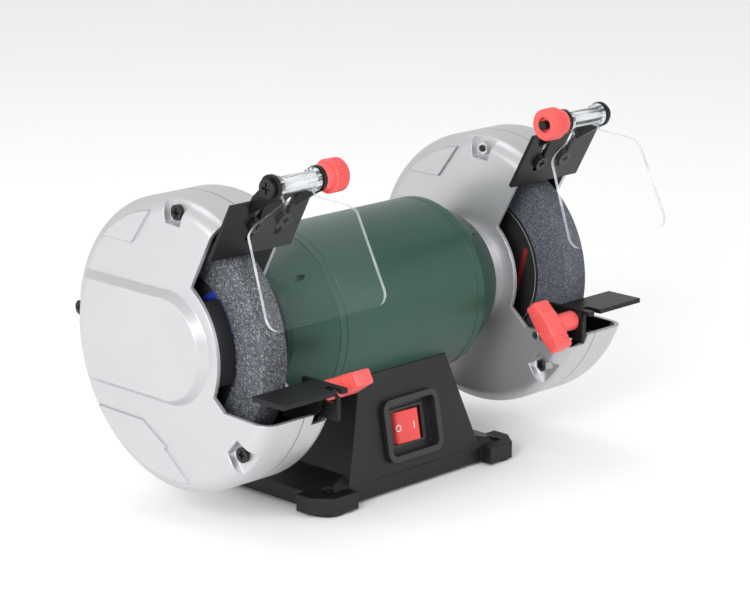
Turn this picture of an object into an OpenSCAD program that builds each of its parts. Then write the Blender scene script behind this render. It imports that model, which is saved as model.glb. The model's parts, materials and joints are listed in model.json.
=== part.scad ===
// Double-ended bench grinder: two 150 mm wheels on one induction-motor shaft.
// X runs along the shaft, the operator stands on the -Y side, Z is up.
// The origin is on the bench, under the middle of the base.

/* [Wheels] */
// Diameter of each grinding wheel
wheel_d = 150; // [130:1:160]
// Width of each grinding wheel
wheel_w = 20; // [14:1:24]
// Bore of each grinding wheel
wheel_bore = 20; // [18:0.5:26]
// Distance of each wheel's middle from the middle of the machine
wheel_x = 136.5; // [134:0.5:138]
// Diameter of the paper blotter on each side of a wheel
blotter_d = 100; // [60:1:110]

/* [Spindle] */
// Height of the spindle above the bench
shaft_h = 112; // [108:1:130]
// Diameter of the threaded spindle ends
spindle_d = 14; // [12:0.5:16]
// Bore of the ball bearings
bearing_bore = 17; // [15:1:17]
// Outside diameter of the ball bearings
bearing_od = 40; // [35:1:42]
// Width of the ball bearings
bearing_w = 12; // [10:1:12]
// Diameter of the wheel flanges
flange_d = 50; // [40:1:56]
// Running clearance between turning and fixed round faces
run_gap = 0.05; // [0.02:0.01:0.1]

/* [Motor] */
// Outside diameter of the motor
motor_d = 116; // [110:1:120]
// Length of the motor shell between the end bells
shell_len = 119; // [115:1:124]
// Wall of the motor shell
shell_wall = 3; // [2:0.5:4]
// Length of the straight rim of each end bell
bell_rim = 6; // [4:0.5:10]
// Distance from the middle to the outer face of each end bell
bell_end = 95; // [93:0.5:97]
// Diameter of the end face of each end bell
bell_face_d = 82; // [78:1:90]
// Length of the stator and rotor stacks
stack_len = 72; // [50:1:76]

/* [Wheel guards] */
// Outside diameter of the wheel guards
guard_d = 184; // [181:1:196]
// How far the guard's middle is in front of the spindle
guard_front = 9.5; // [6:0.5:11]
// How far the guard's middle is above the spindle
guard_rise = 3; // [0:0.5:5]
// Wall of the guard castings
guard_wall = 3; // [2:0.5:3.5]
// Distance from the middle to the inner face of each guard
guard_in = 106; // [105:0.5:108]
// Distance from the middle to the seam between guard and cover
guard_seam = 133; // [131:0.5:135]
// Distance from the middle to the flat face of each cover
guard_out = 163.5; // [162.5:0.5:170]
// Radius of the rounded edge of guard and cover
guard_round = 10; // [6:0.5:12]
// Diameter of the raised boss on each cover
boss_d = 72; // [60:1:80]
// Height of the raised boss
boss_h = 5.5; // [5:0.5:9]
// Diameter of the collar between guard and motor
collar_d = 73; // [68:1:76]

/* [Spark arresters and eye shields] */
// Width of the spark arrester plates
arrester_w = 65; // [58:1:66]
// Height of the spark arrester plates
arrester_h = 41; // [38:1:46]
// Thickness of the spark arrester plates
arrester_t = 2.5; // [1.5:0.5:3]
// How far the left arrester is pulled out along its slots
left_arrester_out = 0; // [0:0.5:6]
// How far the right arrester is pulled out along its slots
right_arrester_out = 5; // [0:0.5:6]
// Diameter of the eye shield bolts
shield_bolt_d = 6; // [5:0.5:6]
// Length of the clear barrel on each eye shield
barrel_len = 33; // [30:1:42]
// Thickness of the clear sheet
shield_t = 3; // [2:0.5:4]
// Height of the clear pane below its bend
pane_h = 60; // [45:1:70]
// Width of the clear pane at its lower edge
pane_w = 97; // [80:1:100]

/* [Tool rests] */
// Width of the tool rest platforms
rest_w = 52; // [44:1:54]
// Depth of the tool rest platforms
rest_depth = 27; // [20:1:32]
// Thickness of the tool rest plate
rest_t = 3; // [2:0.5:4]
// Gap between the wheel and the right-hand tool rest
rest_gap = 3; // [2:0.5:5]
// How much farther out the left-hand tool rest is set
left_rest_out = 9; // [0:0.5:10]
// Diameter of the tool rest bolts
rest_bolt_d = 6; // [5:0.5:6]

/* [Base] */
// Width of the base over its skirt
base_w = 168; // [164:1:190]
// Depth of the base over its skirt
base_depth = 120; // [118:1:130]
// Height of the skirt's upper edge above the bench
skirt_h = 12; // [10:0.5:16]
// Wall of the base casting
base_wall = 3.5; // [2.5:0.5:4]
// Distance between the bench bolts along the machine
bolt_span_x = 153; // [150:1:175]
// Distance between the bench bolts across the machine
bolt_span_y = 112; // [110:1:122]
// Diameter of the bench bolt holes
bench_hole_d = 8.5; // [6:0.5:9]

/* [Switch] */
// Width of the switch bezel
bezel_w = 50; // [48:1:56]
// Height of the switch bezel
bezel_h = 41; // [38:1:44]
// Width of the rocker
rocker_w = 26; // [20:1:28]
// Height of the rocker
rocker_h = 20.5; // [16:0.5:22]

/* [Hidden] */
$fn = 64;
eps = 0.01;
wheel_r = wheel_d / 2;
wheel_in = wheel_x - wheel_w / 2;
wheel_out = wheel_x + wheel_w / 2;
blotter_t = 0.8;
motor_r = motor_d / 2;
shell_end = shell_len / 2;
shell_r = motor_r - shell_wall;
seam = 0.5;
bearing_x = 75;
bearing_r = bearing_od / 2;
ball_r = 3.1;
hub_x = 100;
flange_t = 6;
flange_r = flange_d / 2;
nut_t = 9;
spindle_end = wheel_out + blotter_t + flange_t + nut_t + 2;
core_bore_r = 12;
air_gap = 0.5;
rotor_r = 32;
guard_r = guard_d / 2;
guard_y = -guard_front;
guard_z = shaft_h + guard_rise;
guard_inner_r = guard_r - guard_wall;
opening_in_r = 47;
opening_out_r = 53;
lip_z = shaft_h - 28;
screw_r = 2.25;
screw_spots = [[94, 84], [222, 82], [5, 88]]; // angle and radius of the cover screws
pocket_depth = 5.5;
pocket_floor = 2.5;
cut_angle = 118.7; // the guard's upper cut, measured from +Y
cut_dir = [cos(cut_angle), sin(cut_angle)];
cut_start = [-33, shaft_h + 41];
web_t = 3;
web_from = 30;
web_to = 57;
arrester_low = 26;
arrester_gap = 0.2;
arrester_x = 98;
arrester_screw_at = 50;
arrester_screws_x = [arrester_x + 17, arrester_x + 40];
arrester_screw_r = 2.5;
slot_w = 6;
axis_up = 58;
axis_fwd = 10;
ear_t = 2.5;
ear_r = 8;
ear_gap = 0.5;
barrel_x = 110.5;
barrel_r = 5.5;
barrel_collar_r = 7.5;
tab_drop = [-10, -19.5];
pane_dir = 247.6;
knob_r = 10.5;
knob_len = 17;
rest_bolt_y = -90;
rest_bolt_z = shaft_h - 18.5;
rest_top = shaft_h - 10.5;
tongue_x = 115;
tongue_low = shaft_h - 32;
rest_back = -(wheel_r + rest_gap);
bracket_gap = 0.3;
bracket_x = tongue_x + rest_t + bracket_gap;
bracket_t = 3;
panel_top = [-47, 79];
panel_low = [-base_depth / 2 + 0.8, skirt_h];
panel_lean = atan((panel_top[0] - panel_low[0]) / (panel_top[1] - panel_low[1]));
pedestal_top_w = 74;
pedestal_low_w = 120;
saddle_t = 4;
skirt_low = 2;
rubber_t = 1.5;
pad_back_x = 15.5;
pad_back_y = 12;
plate_t = 1.5;
switch_z = 39;
switch_y = panel_low[0] + (switch_z - panel_low[1]) * tan(panel_lean);
bezel_proud = 3.5;
bezel_rim = 4;
bezel_sink = 4.5;
switch_flange_t = 1.5;
rocker_r = 17;

// ---------- helpers ----------

// A drawing in the YZ plane, extruded along +X from x
module yz(x, length) {
    translate([x, 0, 0]) rotate([90, 0, 90]) linear_extrude(length) children();
}

// A cylinder along +X from x, at y and z
module rod(x, length, r, y = 0, z = shaft_h) {
    translate([x, y, z]) rotate([0, 90, 0]) cylinder(h = length, r = r);
}

// The left side of the machine mirrors the right side
module side(s) {
    mirror([s < 0 ? 1 : 0, 0, 0]) children();
}

// A rectangle with round corners, centred
module round_rect(w, h, r) {
    union() {
        square([w - 2 * r, h], center = true);
        square([w, h - 2 * r], center = true);
        for (x = [-1, 1], y = [-1, 1])
            translate([x * (w / 2 - r), y * (h / 2 - r)]) circle(r);
    }
}

// Outer form of a cup: closed and rounded at z = 0, open at z = depth
module cup_solid(r, depth, round) {
    rotate_extrude($fn = 128) union() {
        square([r - round, depth]);
        translate([0, round]) square([r, depth - round]);
        translate([r - round, round]) intersection() {
            circle(round);
            translate([0, -round]) square(round);
        }
    }
}

// A pan-head cross-recess screw along +X: head first, from x
module pan_screw(x, y, z, length, r, head_r, head_t) {
    difference() {
        union() {
            rod(x - head_t, head_t, head_r, y, z);
            rod(x - eps, length + eps, r, y, z);
        }
        for (a = [0, 90]) translate([x - head_t, y, z]) rotate([a, 0, 0])
            cube([head_t * 1.2, head_r * 0.3, head_r * 1.1], center = true);
    }
}

// A hexagon nut along +X from x, with a round bore
module hex_nut(x, y, z, across, thick, bore_r) {
    difference() {
        translate([x, y, z]) rotate([0, 90, 0]) cylinder(h = thick, r = across / 2 / cos(30), $fn = 6);
        rod(x - 1, thick + 2, bore_r, y, z);
    }
}

// ---------- base ----------

// The base's outer form, shrunk by d on every wall
module base_form(d, low) {
    intersection() {
        translate([0, base_depth, 0]) rotate([90, 0, 0]) linear_extrude(base_depth * 2)
            polygon([[-pedestal_low_w / 2 + d, low], [pedestal_low_w / 2 - d, low],
                [pedestal_low_w / 2 - d, skirt_h], [pedestal_top_w / 2 - d, panel_top[1] + 6],
                [-pedestal_top_w / 2 + d, panel_top[1] + 6], [-pedestal_low_w / 2 + d, skirt_h]]);
        yz(-base_w, base_w * 2)
            polygon([[panel_low[0] + d, low], [panel_low[0] + d, skirt_h], [panel_top[0] + d, panel_top[1]],
                [-panel_top[0] - d, panel_top[1]], [-panel_low[0] - d, skirt_h], [-panel_low[0] - d, low]]);
    }
}

// The low deck around the pedestal, shrunk by d on every wall
module deck_form(d, low) {
    roof = 10;
    intersection() {
        translate([0, base_depth, 0]) rotate([90, 0, 0]) linear_extrude(base_depth * 2)
            polygon([[-base_w / 2 + d, low], [base_w / 2 - d, low], [base_w / 2 - d, skirt_h - d],
                [pedestal_top_w / 2 + 8, skirt_h + roof - d], [-pedestal_top_w / 2 - 8, skirt_h + roof - d],
                [-base_w / 2 + d, skirt_h - d]]);
        yz(-base_w, base_w * 2)
            polygon([[-base_depth / 2 + d, low], [-base_depth / 2 + d, skirt_h - d],
                [panel_top[0], skirt_h + roof - d], [-panel_top[0], skirt_h + roof - d],
                [base_depth / 2 - d, skirt_h - d], [base_depth / 2 - d, low]]);
    }
}

module foot_spots() {
    for (x = [-1, 1], y = [-1, 1]) translate([x * bolt_span_x / 2, y * bolt_span_y / 2, 0])
        mirror([x < 0 ? 1 : 0, 0, 0]) mirror([0, y < 0 ? 1 : 0, 0]) children();
}

module plate_screw_spots() {
    for (x = [-1, 1], y = [-1, 1])
        translate([x * (pedestal_low_w / 2 - base_wall - 3.5), y * (base_depth / 2 - base_wall - 3.5), 0])
            children();
}

module foot_pad() {
    reach_x = base_w / 2 + 7.5 - bolt_span_x / 2;
    reach_y = base_depth / 2 + 8.5 - bolt_span_y / 2;
    translate([0, 0, rubber_t]) linear_extrude(skirt_h + 0.5 - rubber_t)
        polygon([[-pad_back_x, -pad_back_y], [reach_x, -pad_back_y], [reach_x, reach_y - 12.5],
            [reach_x - 9.5, reach_y], [-pad_back_x, reach_y]]);
}

module on_panel() {
    translate([0, switch_y, switch_z]) rotate([90 - panel_lean, 0, 0]) children();
}

module on_back() {
    translate([32, -panel_low[0] - (26 - skirt_h) * tan(panel_lean), 26])
        rotate([-90 + panel_lean, 0, 0]) children();
}

module base_casting() {
    color([0.14, 0.14, 0.15]) difference() {
        union() {
            difference() {
                union() {
                    base_form(0, skirt_low);
                    deck_form(0, skirt_low);
                }
                base_form(base_wall, 0);
                deck_form(base_wall, 0);
            }
            intersection() {
                base_form(0, skirt_low);
                rod(-base_w, base_w * 2, motor_r + saddle_t);
            }
            foot_spots() foot_pad();
            plate_screw_spots() translate([0, 0, skirt_low + plate_t]) cylinder(h = 12, r = 4.5);
        }
        rod(-base_w, base_w * 2, motor_r);
        foot_spots() translate([0, 0, -1]) cylinder(h = skirt_h + 4, r = bench_hole_d / 2);
        translate([0, 0, shaft_h - motor_r - saddle_t - 8]) cylinder(h = 14, r = 7);
        for (x = [-25, 25]) translate([x, 0, shaft_h - motor_r - saddle_t - 8])
            cylinder(h = 14, r = 2.5);
        plate_screw_spots() cylinder(h = 12, r = 1.6);
        translate([0, 0, -skirt_low]) plate_form(0, 2 * skirt_low + plate_t);
        on_panel() linear_extrude(40, center = true) round_rect(bezel_w - 4, bezel_h - 4, 5);
        on_back() cylinder(h = 30, r = 8, center = true);
    }
}

// Flat plate inside the skirt, notched around the foot pads
module plate_form(gap, thick) {
    half_x = base_w / 2 - base_wall - gap;
    half_y = base_depth / 2 - base_wall - gap;
    linear_extrude(thick) difference() {
        square([2 * half_x, 2 * half_y], center = true);
        foot_spots() translate([-pad_back_x - gap, -pad_back_y - gap]) square(40);
    }
}

module bottom_plate() {
    color([0.2, 0.2, 0.21]) difference() {
        translate([0, 0, skirt_low]) plate_form(0.4, plate_t);
        plate_screw_spots() cylinder(h = 12, r = 1.6);
        for (i = [-3:3]) translate([i * 9, 0, skirt_low - 1]) linear_extrude(plate_t + 2)
            round_rect(3, 22, 1.4);
    }
}

module bottom_plate_screws() {
    color([0.1, 0.1, 0.1]) plate_screw_spots() difference() {
        union() {
            translate([0, 0, skirt_low - 1.4]) cylinder(h = 1.4, r = 3.2);
            translate([0, 0, skirt_low - eps]) cylinder(h = 9, r = 1.6);
        }
        for (a = [0, 90]) rotate([0, 0, a]) translate([0, 0, skirt_low - 1.4])
            cube([0.9, 4, 1.4], center = true);
    }
}

module rubber_feet() {
    color([0.06, 0.06, 0.06]) foot_spots() difference() {
        cylinder(h = rubber_t, r = 11);
        translate([0, 0, -1]) cylinder(h = rubber_t + 2, r = bench_hole_d / 2);
    }
}

// ---------- motor ----------

module motor_shell() {
    color([0.24, 0.37, 0.33]) difference() {
        translate([0, 0, shaft_h]) rotate([0, 90, 0]) rotate_extrude($fn = 128)
            polygon([[shell_r, -shell_end], [motor_r - seam, -shell_end], [motor_r, seam - shell_end],
                [motor_r, shell_end - seam], [motor_r - seam, shell_end], [shell_r, shell_end]]);
        translate([0, 0, shaft_h - motor_r - 5]) cylinder(h = 12, r = 7);
        for (x = [-25, 25]) translate([x, 0, shaft_h - motor_r - 5]) cylinder(h = 12, r = 2.5);
    }
}

// Half section of an end bell, radius along x and machine X along y
module bell_section() {
    cone_end = bell_end - 3;
    face_r = bell_face_d / 2;
    difference() {
        union() {
            polygon([[0, shell_end], [motor_r - seam, shell_end], [motor_r, shell_end + seam],
                [motor_r, shell_end + bell_rim], [0, shell_end + bell_rim]]);
            polygon([[0, shell_end + bell_rim], [motor_r - 0.4, shell_end + bell_rim],
                [face_r + 2.5, cone_end], [face_r, bell_end], [0, bell_end]]);
        }
        polygon([[0, shell_end - 1], [motor_r - 5, shell_end - 1], [motor_r - 5, shell_end + bell_rim],
            [face_r - 2, bell_end - 8], [bearing_r + 5, bell_end - 8], [bearing_r + 5, bearing_x - 3],
            [0, bearing_x - 3]]);
        square([bearing_r, bearing_x + bearing_w]);
        square([core_bore_r, bell_end + 1]);
    }
}

// Angles of the four long bolts that draw the end bells together
module tie_spots() {
    for (a = [45:90:315]) rotate([a, 0, 0]) children();
}

module end_bell(s) {
    color([0.24, 0.37, 0.33]) side(s) difference() {
        union() {
            translate([0, 0, shaft_h]) rotate([0, 90, 0]) rotate_extrude($fn = 128) bell_section();
            translate([0, 0, shaft_h]) tie_spots() intersection() {
                translate([shell_end, 0, motor_r - 8]) rotate([0, 90, 0]) cylinder(h = 11, r = 5);
                rotate([0, 90, 0]) cylinder(h = 100, r = motor_r - 2);
            }
        }
        translate([0, 0, shaft_h]) tie_spots()
            translate([shell_end - 1, 0, motor_r - 8]) rotate([0, 90, 0]) cylinder(h = 60, r = 2);
        guard_bolt_spots() rotate([0, 90, 0]) translate([0, 0, bell_end - 9]) cylinder(h = 20, r = 2.5);
    }
}

module stator_core() {
    color([0.5, 0.5, 0.52]) difference() {
        rod(-stack_len / 2, stack_len, shell_r);
        rod(-stack_len / 2 - 1, stack_len + 2, rotor_r + air_gap);
        translate([0, 0, shaft_h]) for (a = [0:20:340]) rotate([a, 0, 0])
            translate([-stack_len, -2, rotor_r + 4]) cube([stack_len * 2, 4, 10]);
        translate([0, 0, shaft_h]) tie_spots() translate([-stack_len, 0, motor_r - 8])
            rotate([0, 90, 0]) cylinder(h = stack_len * 2, r = 2.6);
    }
}

module stator_windings() {
    end_t = 10;
    color([0.72, 0.42, 0.2]) {
        union() {
            for (s = [-1, 1]) side(s) difference() {
                rod(stack_len / 2, end_t, rotor_r + 14);
                rod(stack_len / 2 - 1, end_t + 2, rotor_r + 4);
            }
            translate([0, 0, shaft_h]) for (a = [0:20:340]) rotate([a, 0, 0])
                translate([-stack_len / 2 - 1, -1.8, rotor_r + 4.2]) cube([stack_len + 2, 3.6, 9.6]);
        }
    }
}

module through_bolts() {
    color([0.55, 0.55, 0.57]) translate([0, 0, shaft_h]) tie_spots() translate([0, 0, motor_r - 8])
        rotate([0, 90, 0]) {
            translate([0, 0, -shell_end - 8]) cylinder(h = shell_len + 16, r = 2);
        }
}

module saddle_bolts() {
    color([0.3, 0.3, 0.32]) for (x = [-25, 25]) translate([x, 0, shaft_h - motor_r - saddle_t]) {
        translate([0, 0, -3.5]) cylinder(h = 3.5, r = 5);
        translate([0, 0, -eps]) cylinder(h = saddle_t + shell_wall - 0.4, r = 2.5);
    }
}

module bearing_outer_rings() {
    color([0.75, 0.75, 0.77]) for (s = [-1, 1]) side(s) difference() {
        rod(bearing_x, bearing_w, bearing_r);
        rod(bearing_x - 1, bearing_w + 2, bearing_r - 4);
        race_groove(run_gap);
    }
}

module race_groove(gap) {
    translate([bearing_x + bearing_w / 2, 0, shaft_h]) rotate([0, 90, 0])
        rotate_extrude($fn = 64) translate([(bearing_r + bearing_bore / 2) / 2, 0]) circle(ball_r + gap);
}

module bearing_inner_rings() {
    color([0.7, 0.7, 0.72]) for (s = [-1, 1]) side(s) difference() {
        rod(bearing_x, bearing_w, bearing_bore / 2 + 3.6);
        rod(bearing_x - 1, bearing_w + 2, bearing_bore / 2);
        race_groove(0);
    }
}

// Eight balls a side, held in a thin cage ring
module bearing_balls() {
    pitch = (bearing_r + bearing_bore / 2) / 2;
    color([0.8, 0.8, 0.82]) for (s = [-1, 1]) side(s)
        translate([bearing_x + bearing_w / 2, 0, shaft_h]) rotate([0, 90, 0]) union() {
            for (a = [0:45:315]) rotate([0, 0, a]) translate([pitch, 0, 0]) sphere(ball_r, $fn = 32);
            difference() {
                translate([0, 0, -1]) cylinder(h = 2, r = pitch + 0.9);
                translate([0, 0, -2]) cylinder(h = 4, r = pitch - 0.9);
            }
        }
}

module wave_washer() {
    color([0.7, 0.7, 0.7]) difference() {
        rod(bearing_x - 1.2, 1.2, bearing_r - 0.4);
        rod(bearing_x - 2, 3, bearing_r - 4);
    }
}

// ---------- turning parts ----------

module shaft() {
    color([0.72, 0.72, 0.74]) union() {
        rod(-stack_len / 2 - 12, stack_len + 24, core_bore_r);
        for (s = [-1, 1]) side(s) {
            rod(0, bearing_x, bearing_bore / 2 + 1.5);
            rod(0, hub_x, bearing_bore / 2);
            rod(0, spindle_end, spindle_d / 2);
        }
    }
}

module rotor_core() {
    color([0.6, 0.6, 0.62]) difference() {
        union() {
            rod(-stack_len / 2, stack_len, rotor_r);
            for (s = [-1, 1]) side(s) rod(stack_len / 2 - eps, 6, rotor_r - 2);
        }
        rod(-stack_len, stack_len * 2, core_bore_r);
    }
}

module inner_flanges() {
    color([0.62, 0.62, 0.64]) for (s = [-1, 1]) side(s) difference() {
        union() {
            rod(hub_x, wheel_in - hub_x, core_bore_r - 1);
            rod(wheel_in - blotter_t - flange_t, flange_t, flange_r);
            rod(hub_x, wheel_in - hub_x + 8, wheel_bore / 2);
        }
        rod(hub_x - 1, 60, spindle_d / 2);
        difference() {
            rod(wheel_in - blotter_t - 1.5, 2 + blotter_t, flange_r - 7);
            rod(wheel_in - 10, 20, wheel_bore / 2);
        }
    }
}

module outer_flanges() {
    color([0.62, 0.62, 0.64]) for (s = [-1, 1]) side(s) difference() {
        rod(wheel_out + blotter_t, flange_t, flange_r);
        rod(wheel_out, 20, spindle_d / 2);
        difference() {
            rod(wheel_out, blotter_t + 1.5, flange_r - 7);
            rod(wheel_out - 10, 20, spindle_d / 2 + 4);
        }
    }
}

module spindle_nuts() {
    color([0.6, 0.6, 0.62]) for (s = [-1, 1]) side(s)
        hex_nut(wheel_out + blotter_t + flange_t, 0, shaft_h, 22, nut_t, spindle_d / 2);
}

module wheel(s, tone) {
    color(tone) side(s) difference() {
        rod(wheel_in, wheel_w, wheel_r, $fn = 128);
        rod(wheel_in - 1, wheel_w + 2, wheel_bore / 2);
    }
}

module wheel_blotters(s, tone) {
    color(tone) side(s) for (x = [wheel_in - blotter_t, wheel_out]) difference() {
        rod(x, blotter_t, blotter_d / 2);
        rod(x - 1, blotter_t + 2, wheel_bore / 2);
    }
}

// ---------- wheel guards ----------

// The open front of a guard; back moves the upper cut away from the opening
module guard_opening(hub_r, back) {
    shift = [back * sin(cut_angle), -back * cos(cut_angle)];
    top = cut_start + cut_dir * 80 + shift;
    low = cut_start - cut_dir * 15 + shift;
    difference() {
        polygon([low, top, [-150, top[1]], [-150, lip_z - 3], [-58, lip_z], [-46.5, lip_z + 9.5],
            [-30, lip_z + 21]]);
        translate([0, shaft_h]) circle(hub_r);
    }
}

module screw_spot_frame(i) {
    a = screw_spots[i][0];
    r = screw_spots[i][1];
    translate([0, guard_y + r * cos(a), guard_z + r * sin(a)]) rotate([a, 0, 0]) children();
}

function spot_y(i) = guard_y + screw_spots[i][1] * cos(screw_spots[i][0]);
function spot_z(i) = guard_z + screw_spots[i][1] * sin(screw_spots[i][0]);

// Plan of a screw pocket: narrow end inwards, open to the rim
module pocket_plan(grow) {
    polygon([[-7 - grow, -6.5 - grow], [4, -9.5 - grow], [30, -12 - grow], [30, 12 + grow],
        [4, 9.5 + grow], [-7 - grow, 6.5 + grow]]);
}

module pocket_cut(x, length, grow) {
    for (i = [0:2]) screw_spot_frame(i) translate([x, 0, 0]) rotate([90, 0, 90])
        linear_extrude(length) pocket_plan(grow);
}

module screw_posts(x, length) {
    difference() {
        for (i = [0:2]) rod(x, length, 6, spot_y(i), spot_z(i));
        rod(wheel_in - 4, wheel_w + 8, wheel_r + 3);
    }
}

module screw_bores() {
    for (i = [0:2]) rod(guard_in - 1, guard_out - guard_in + 2, screw_r, spot_y(i), spot_z(i));
}

module guard_cup(from, depth, dir) {
    translate([from, guard_y, guard_z]) rotate([0, dir * 90, 0]) cup_solid(guard_r, depth, guard_round);
}

module guard_cavity(from, depth, dir) {
    translate([from, guard_y, guard_z]) rotate([0, dir * 90, 0])
        translate([0, 0, guard_wall]) cup_solid(guard_inner_r, depth, guard_round - guard_wall);
}

// Three bolts through the guard's collar into the end bell
module guard_bolt_spots() {
    for (a = [30, 150, 270]) translate([0, 0, shaft_h]) rotate([a, 0, 0]) translate([0, 0, 29])
        children();
}

module inner_guard(s) {
    depth = guard_seam - guard_in;
    color([0.86, 0.86, 0.87]) side(s) difference() {
        union() {
            difference() {
                guard_cup(guard_in, depth, 1);
                guard_cavity(guard_in, depth + 1, 1);
                yz(guard_in - 20, 80) guard_opening(opening_in_r, 0);
            }
            intersection() {
                guard_cup(guard_in, depth, 1);
                union() {
                    pocket_cut(guard_in, pocket_depth + pocket_floor, 2.5);
                    screw_posts(guard_in + 1, depth - 1);
                }
            }
            collar();
            pad_upper(guard_in - 1.5, 2.5);
            arrester_web();
        }
        pocket_cut(guard_in - 20, 20 + pocket_depth, 0);
        screw_bores();
        rod(guard_in - 20, 60, core_bore_r + 6);
        guard_bolt_spots() rotate([0, 90, 0]) translate([0, 0, 80]) cylinder(h = 40, r = 2.5);
        guard_bolt_spots() rotate([0, 90, 0]) translate([0, 0, guard_in - 1]) cylinder(h = 40, r = 5);
        translate([tongue_x - 4, rest_bolt_y - 20, lip_z - 8]) cube([14, 30, 30]);
        bracket_rivet_bores();
    }
}

// Collar with a rounded rim, where the guard meets the end bell
module collar() {
    collar_r = collar_d / 2;
    translate([bell_end, 0, shaft_h]) rotate([0, 90, 0]) rotate_extrude($fn = 96) union() {
        square([collar_r - 3, 4]);
        translate([0, 3]) square([collar_r, guard_in - bell_end]);
        translate([collar_r - 3, 3]) circle(3);
    }
}

// Raised field behind the upper screw
module pad_upper(x, thick) {
    yz(x, thick) intersection() {
        translate([guard_y, guard_z]) circle(guard_r - guard_round + 2);
        polygon([[150, shaft_h + 63], [22, shaft_h + 63], [-14, shaft_h + 110], [150, shaft_h + 110]]);
    }
}

// Flange under the spark arrester, square to the machine's middle plane
module arrester_web() {
    in_cut_frame() difference() {
        translate([guard_in + 0.5, web_from, -web_t]) cube([40, web_to - web_from, web_t]);
        for (x = arrester_screws_x) translate([x, arrester_screw_at, -10])
            cylinder(h = 20, r = arrester_screw_r);
    }
}

// Local frame of the upper cut: x along the machine, y up the cut, z out of it
module in_cut_frame() {
    translate([0, cut_start[0], cut_start[1]]) rotate([cut_angle, 0, 0]) children();
}

module outer_cover(s) {
    depth = guard_out - guard_seam;
    boss_r = boss_d / 2;
    color([0.9, 0.9, 0.91]) side(s) difference() {
        union() {
            difference() {
                union() {
                    guard_cup(guard_out, depth, -1);
                    intersection() {
                        boss(boss_r, boss_h, 4);
                        translate([guard_out + boss_h, guard_y, guard_z]) rotate([0, -90, 0])
                            cup_solid(guard_r - 8, 20, 9);
                    }
                    pad_upper(guard_out - 1, 2.5);
                    pad_lower(guard_out - 1, 2.2);
                }
                guard_cavity(guard_out, depth + 1, -1);
                translate([-3, 0, 0]) intersection() {
                    boss(boss_r - 3, boss_h, 4);
                    translate([guard_out + boss_h, guard_y, guard_z]) rotate([0, -90, 0])
                        cup_solid(guard_r - 20, 20, 6);
                }
            }
            intersection() {
                guard_cup(guard_out, depth, -1);
                union() {
                    pocket_cut(guard_out - pocket_depth - pocket_floor, pocket_depth + pocket_floor, 2.5);
                    screw_posts(guard_seam, depth - 1);
                }
            }
            opening_lip();
        }
        yz(guard_seam - 20, 80) guard_opening(opening_out_r, web_t + 1);
        pocket_cut(guard_out - pocket_depth, 20, 0);
        screw_bores();
    }
}

// Inward lip along the curved edge of a cover's opening
module opening_lip() {
    yz(wheel_out + 3, guard_out - wheel_out - 4) difference() {
        intersection() {
            translate([0, shaft_h]) circle(opening_out_r);
            polygon([[-100, lip_z + 14], [-100, shaft_h + 36], [-30, shaft_h + 36], [-30, lip_z + 14]]);
        }
        translate([0, shaft_h]) circle(opening_out_r - 2.5);
    }
}

// Raised obround that runs to the back edge of the cover, with sloped sides
module boss(r, h, slope) {
    step = 0.3;
    translate([guard_out, guard_y, guard_z]) union() {
        rotate([0, 90, 0]) rotate_extrude($fn = 96)
            polygon([[0, -4], [r, -4], [r, 0], [r - slope, h], [0, h]]);
        rotate([90, 0, 180]) linear_extrude(guard_r) polygon([[4, -r + step], [0, -r + step],
            [-h, -r + slope + step], [-h, r - slope - step], [0, r - step], [4, r - step]]);
    }
}

// Raised field below the boss, with a curved corner
module pad_lower(x, thick) {
    yz(x, thick) difference() {
        intersection() {
            translate([guard_y, guard_z]) circle(guard_r - guard_round + 2);
            polygon([[150, shaft_h - 46], [16, shaft_h - 48], [-8, shaft_h - 62], [-44, shaft_h - 92],
                [-44, shaft_h - 110], [150, shaft_h - 110]]);
        }
        polygon([[-60, shaft_h - 50], [-4, shaft_h - 62], [-32, shaft_h - 84], [-60, shaft_h - 84]]);
    }
}

module cover_screws(s) {
    color([0.08, 0.08, 0.09]) side(s) for (i = [0:2]) mirror([1, 0, 0])
        pan_screw(-(guard_out - pocket_depth), spot_y(i), spot_z(i),
            guard_out - guard_in - pocket_depth - 1, screw_r, 4.8, 2.8);
}

module cover_nuts(s) {
    color([0.75, 0.75, 0.77]) side(s) for (i = [0:2])
        hex_nut(guard_in + pocket_depth - 3.5, spot_y(i), spot_z(i), 8, 3.5, screw_r);
}

module guard_bolts() {
    color([0.25, 0.25, 0.27]) for (s = [-1, 1]) side(s) guard_bolt_spots() rotate([0, 90, 0]) difference() {
        union() {
            translate([0, 0, bell_end - 8]) cylinder(h = guard_in - bell_end + 7 + eps, r = 2.5);
            translate([0, 0, guard_in - 1]) cylinder(h = 4, r = 4.5);
        }
        translate([0, 0, guard_in + 0.5]) cylinder(h = 3, r = 2.4, $fn = 6);
    }
}

// ---------- spark arresters and eye shields ----------

// Local frame of an arrester: y up the plate from its lower edge, z out of it
module in_arrester_frame(out) {
    in_cut_frame() translate([0, arrester_low + out, 0]) children();
}

module ear(x) {
    translate([x, 0, 0]) rotate([90, 0, 90]) linear_extrude(ear_t) union() {
        translate([axis_up, axis_fwd]) circle(ear_r);
        polygon([[arrester_h - 9, arrester_gap], [arrester_h + 3, arrester_gap],
            [axis_up - 4.8, axis_fwd - 6.4], [axis_up, axis_fwd], [axis_up - 6, axis_fwd + 5.29],
            [arrester_h - 9, arrester_gap + arrester_t]]);
    }
}

ear_in_x = barrel_x - ear_gap - ear_t;
ear_out_x = barrel_x + barrel_len + ear_gap;

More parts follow.
